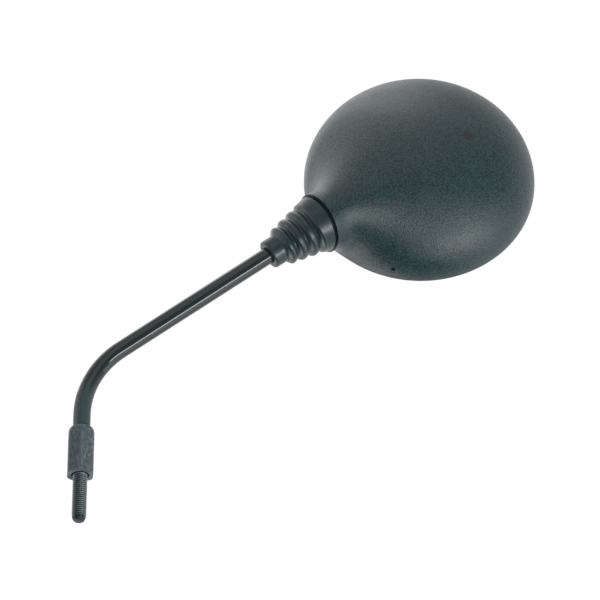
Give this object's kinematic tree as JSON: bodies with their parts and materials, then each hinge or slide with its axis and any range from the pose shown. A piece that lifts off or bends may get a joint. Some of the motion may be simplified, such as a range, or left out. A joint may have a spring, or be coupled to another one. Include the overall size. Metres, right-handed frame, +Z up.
{
  "type": "motorcycle mirror",
  "caption": "Round convex rear-view mirror in a domed plastic shell, on a bent rod with a threaded stud, aimed by a ball joint under a ribbed rubber boot.",
  "frame": {"origin": "centre of the wrench sleeve's lower face, on the stud's axis", "axes": "+Z up along the stud, towards the bend; the rod leans towards +X; the glass faces +Y"},
  "size_m": [0.2607, 0.0441, 0.2988],
  "materials": {
    "rod_gloss": "gloss",
    "sleeve_matte": "matte",
    "ball_steel": "polished",
    "boot_rubber": "satin",
    "liner_nylon": "satin",
    "plate_steel": "satin",
    "fixing_steel": "zinc plated",
    "spring_steel": "oiled",
    "shell_plastic": "fine grain, satin",
    "foam": "matte",
    "mirror_glass": "polished"
  },
  "bodies": {
    "stem": {"rod": "rod_gloss", "hex_sleeve": "sleeve_matte", "ball": "ball_steel"},
    "boot": {"boot": "boot_rubber"},
    "liner": {"ball_liner": "liner_nylon"},
    "head": {"clamp_back": "plate_steel", "clamp_front": "plate_steel", "tension_bolt": "fixing_steel", "tension_nut": "fixing_steel", "disc_springs": "spring_steel", "mount_screws": "fixing_steel", "back_shell": "shell_plastic", "glass_gasket": "foam", "foam_backing": "foam", "glass": "mirror_glass"}
  },
  "joints": [
    {"name": "head_spin", "type": "hinge", "parent": "stem", "child": "boot", "pos_m": [0.14056, 0, 0.16955], "axis": [0.7986, 0, 0.6018], "continuous": true},
    {"name": "head_swing", "type": "hinge", "parent": "boot", "child": "liner", "pos_m": [0.14056, 0, 0.16955], "axis": [0, 1, 0], "range_deg": [-15, 15], "deforming": ["boot"]},
    {"name": "head_tilt", "type": "hinge", "parent": "liner", "child": "head", "pos_m": [0.14056, 0, 0.16955], "axis": [-0.6018, 0, 0.7986], "range_deg": [-15, 15], "deforming": ["boot"]}
  ]
}
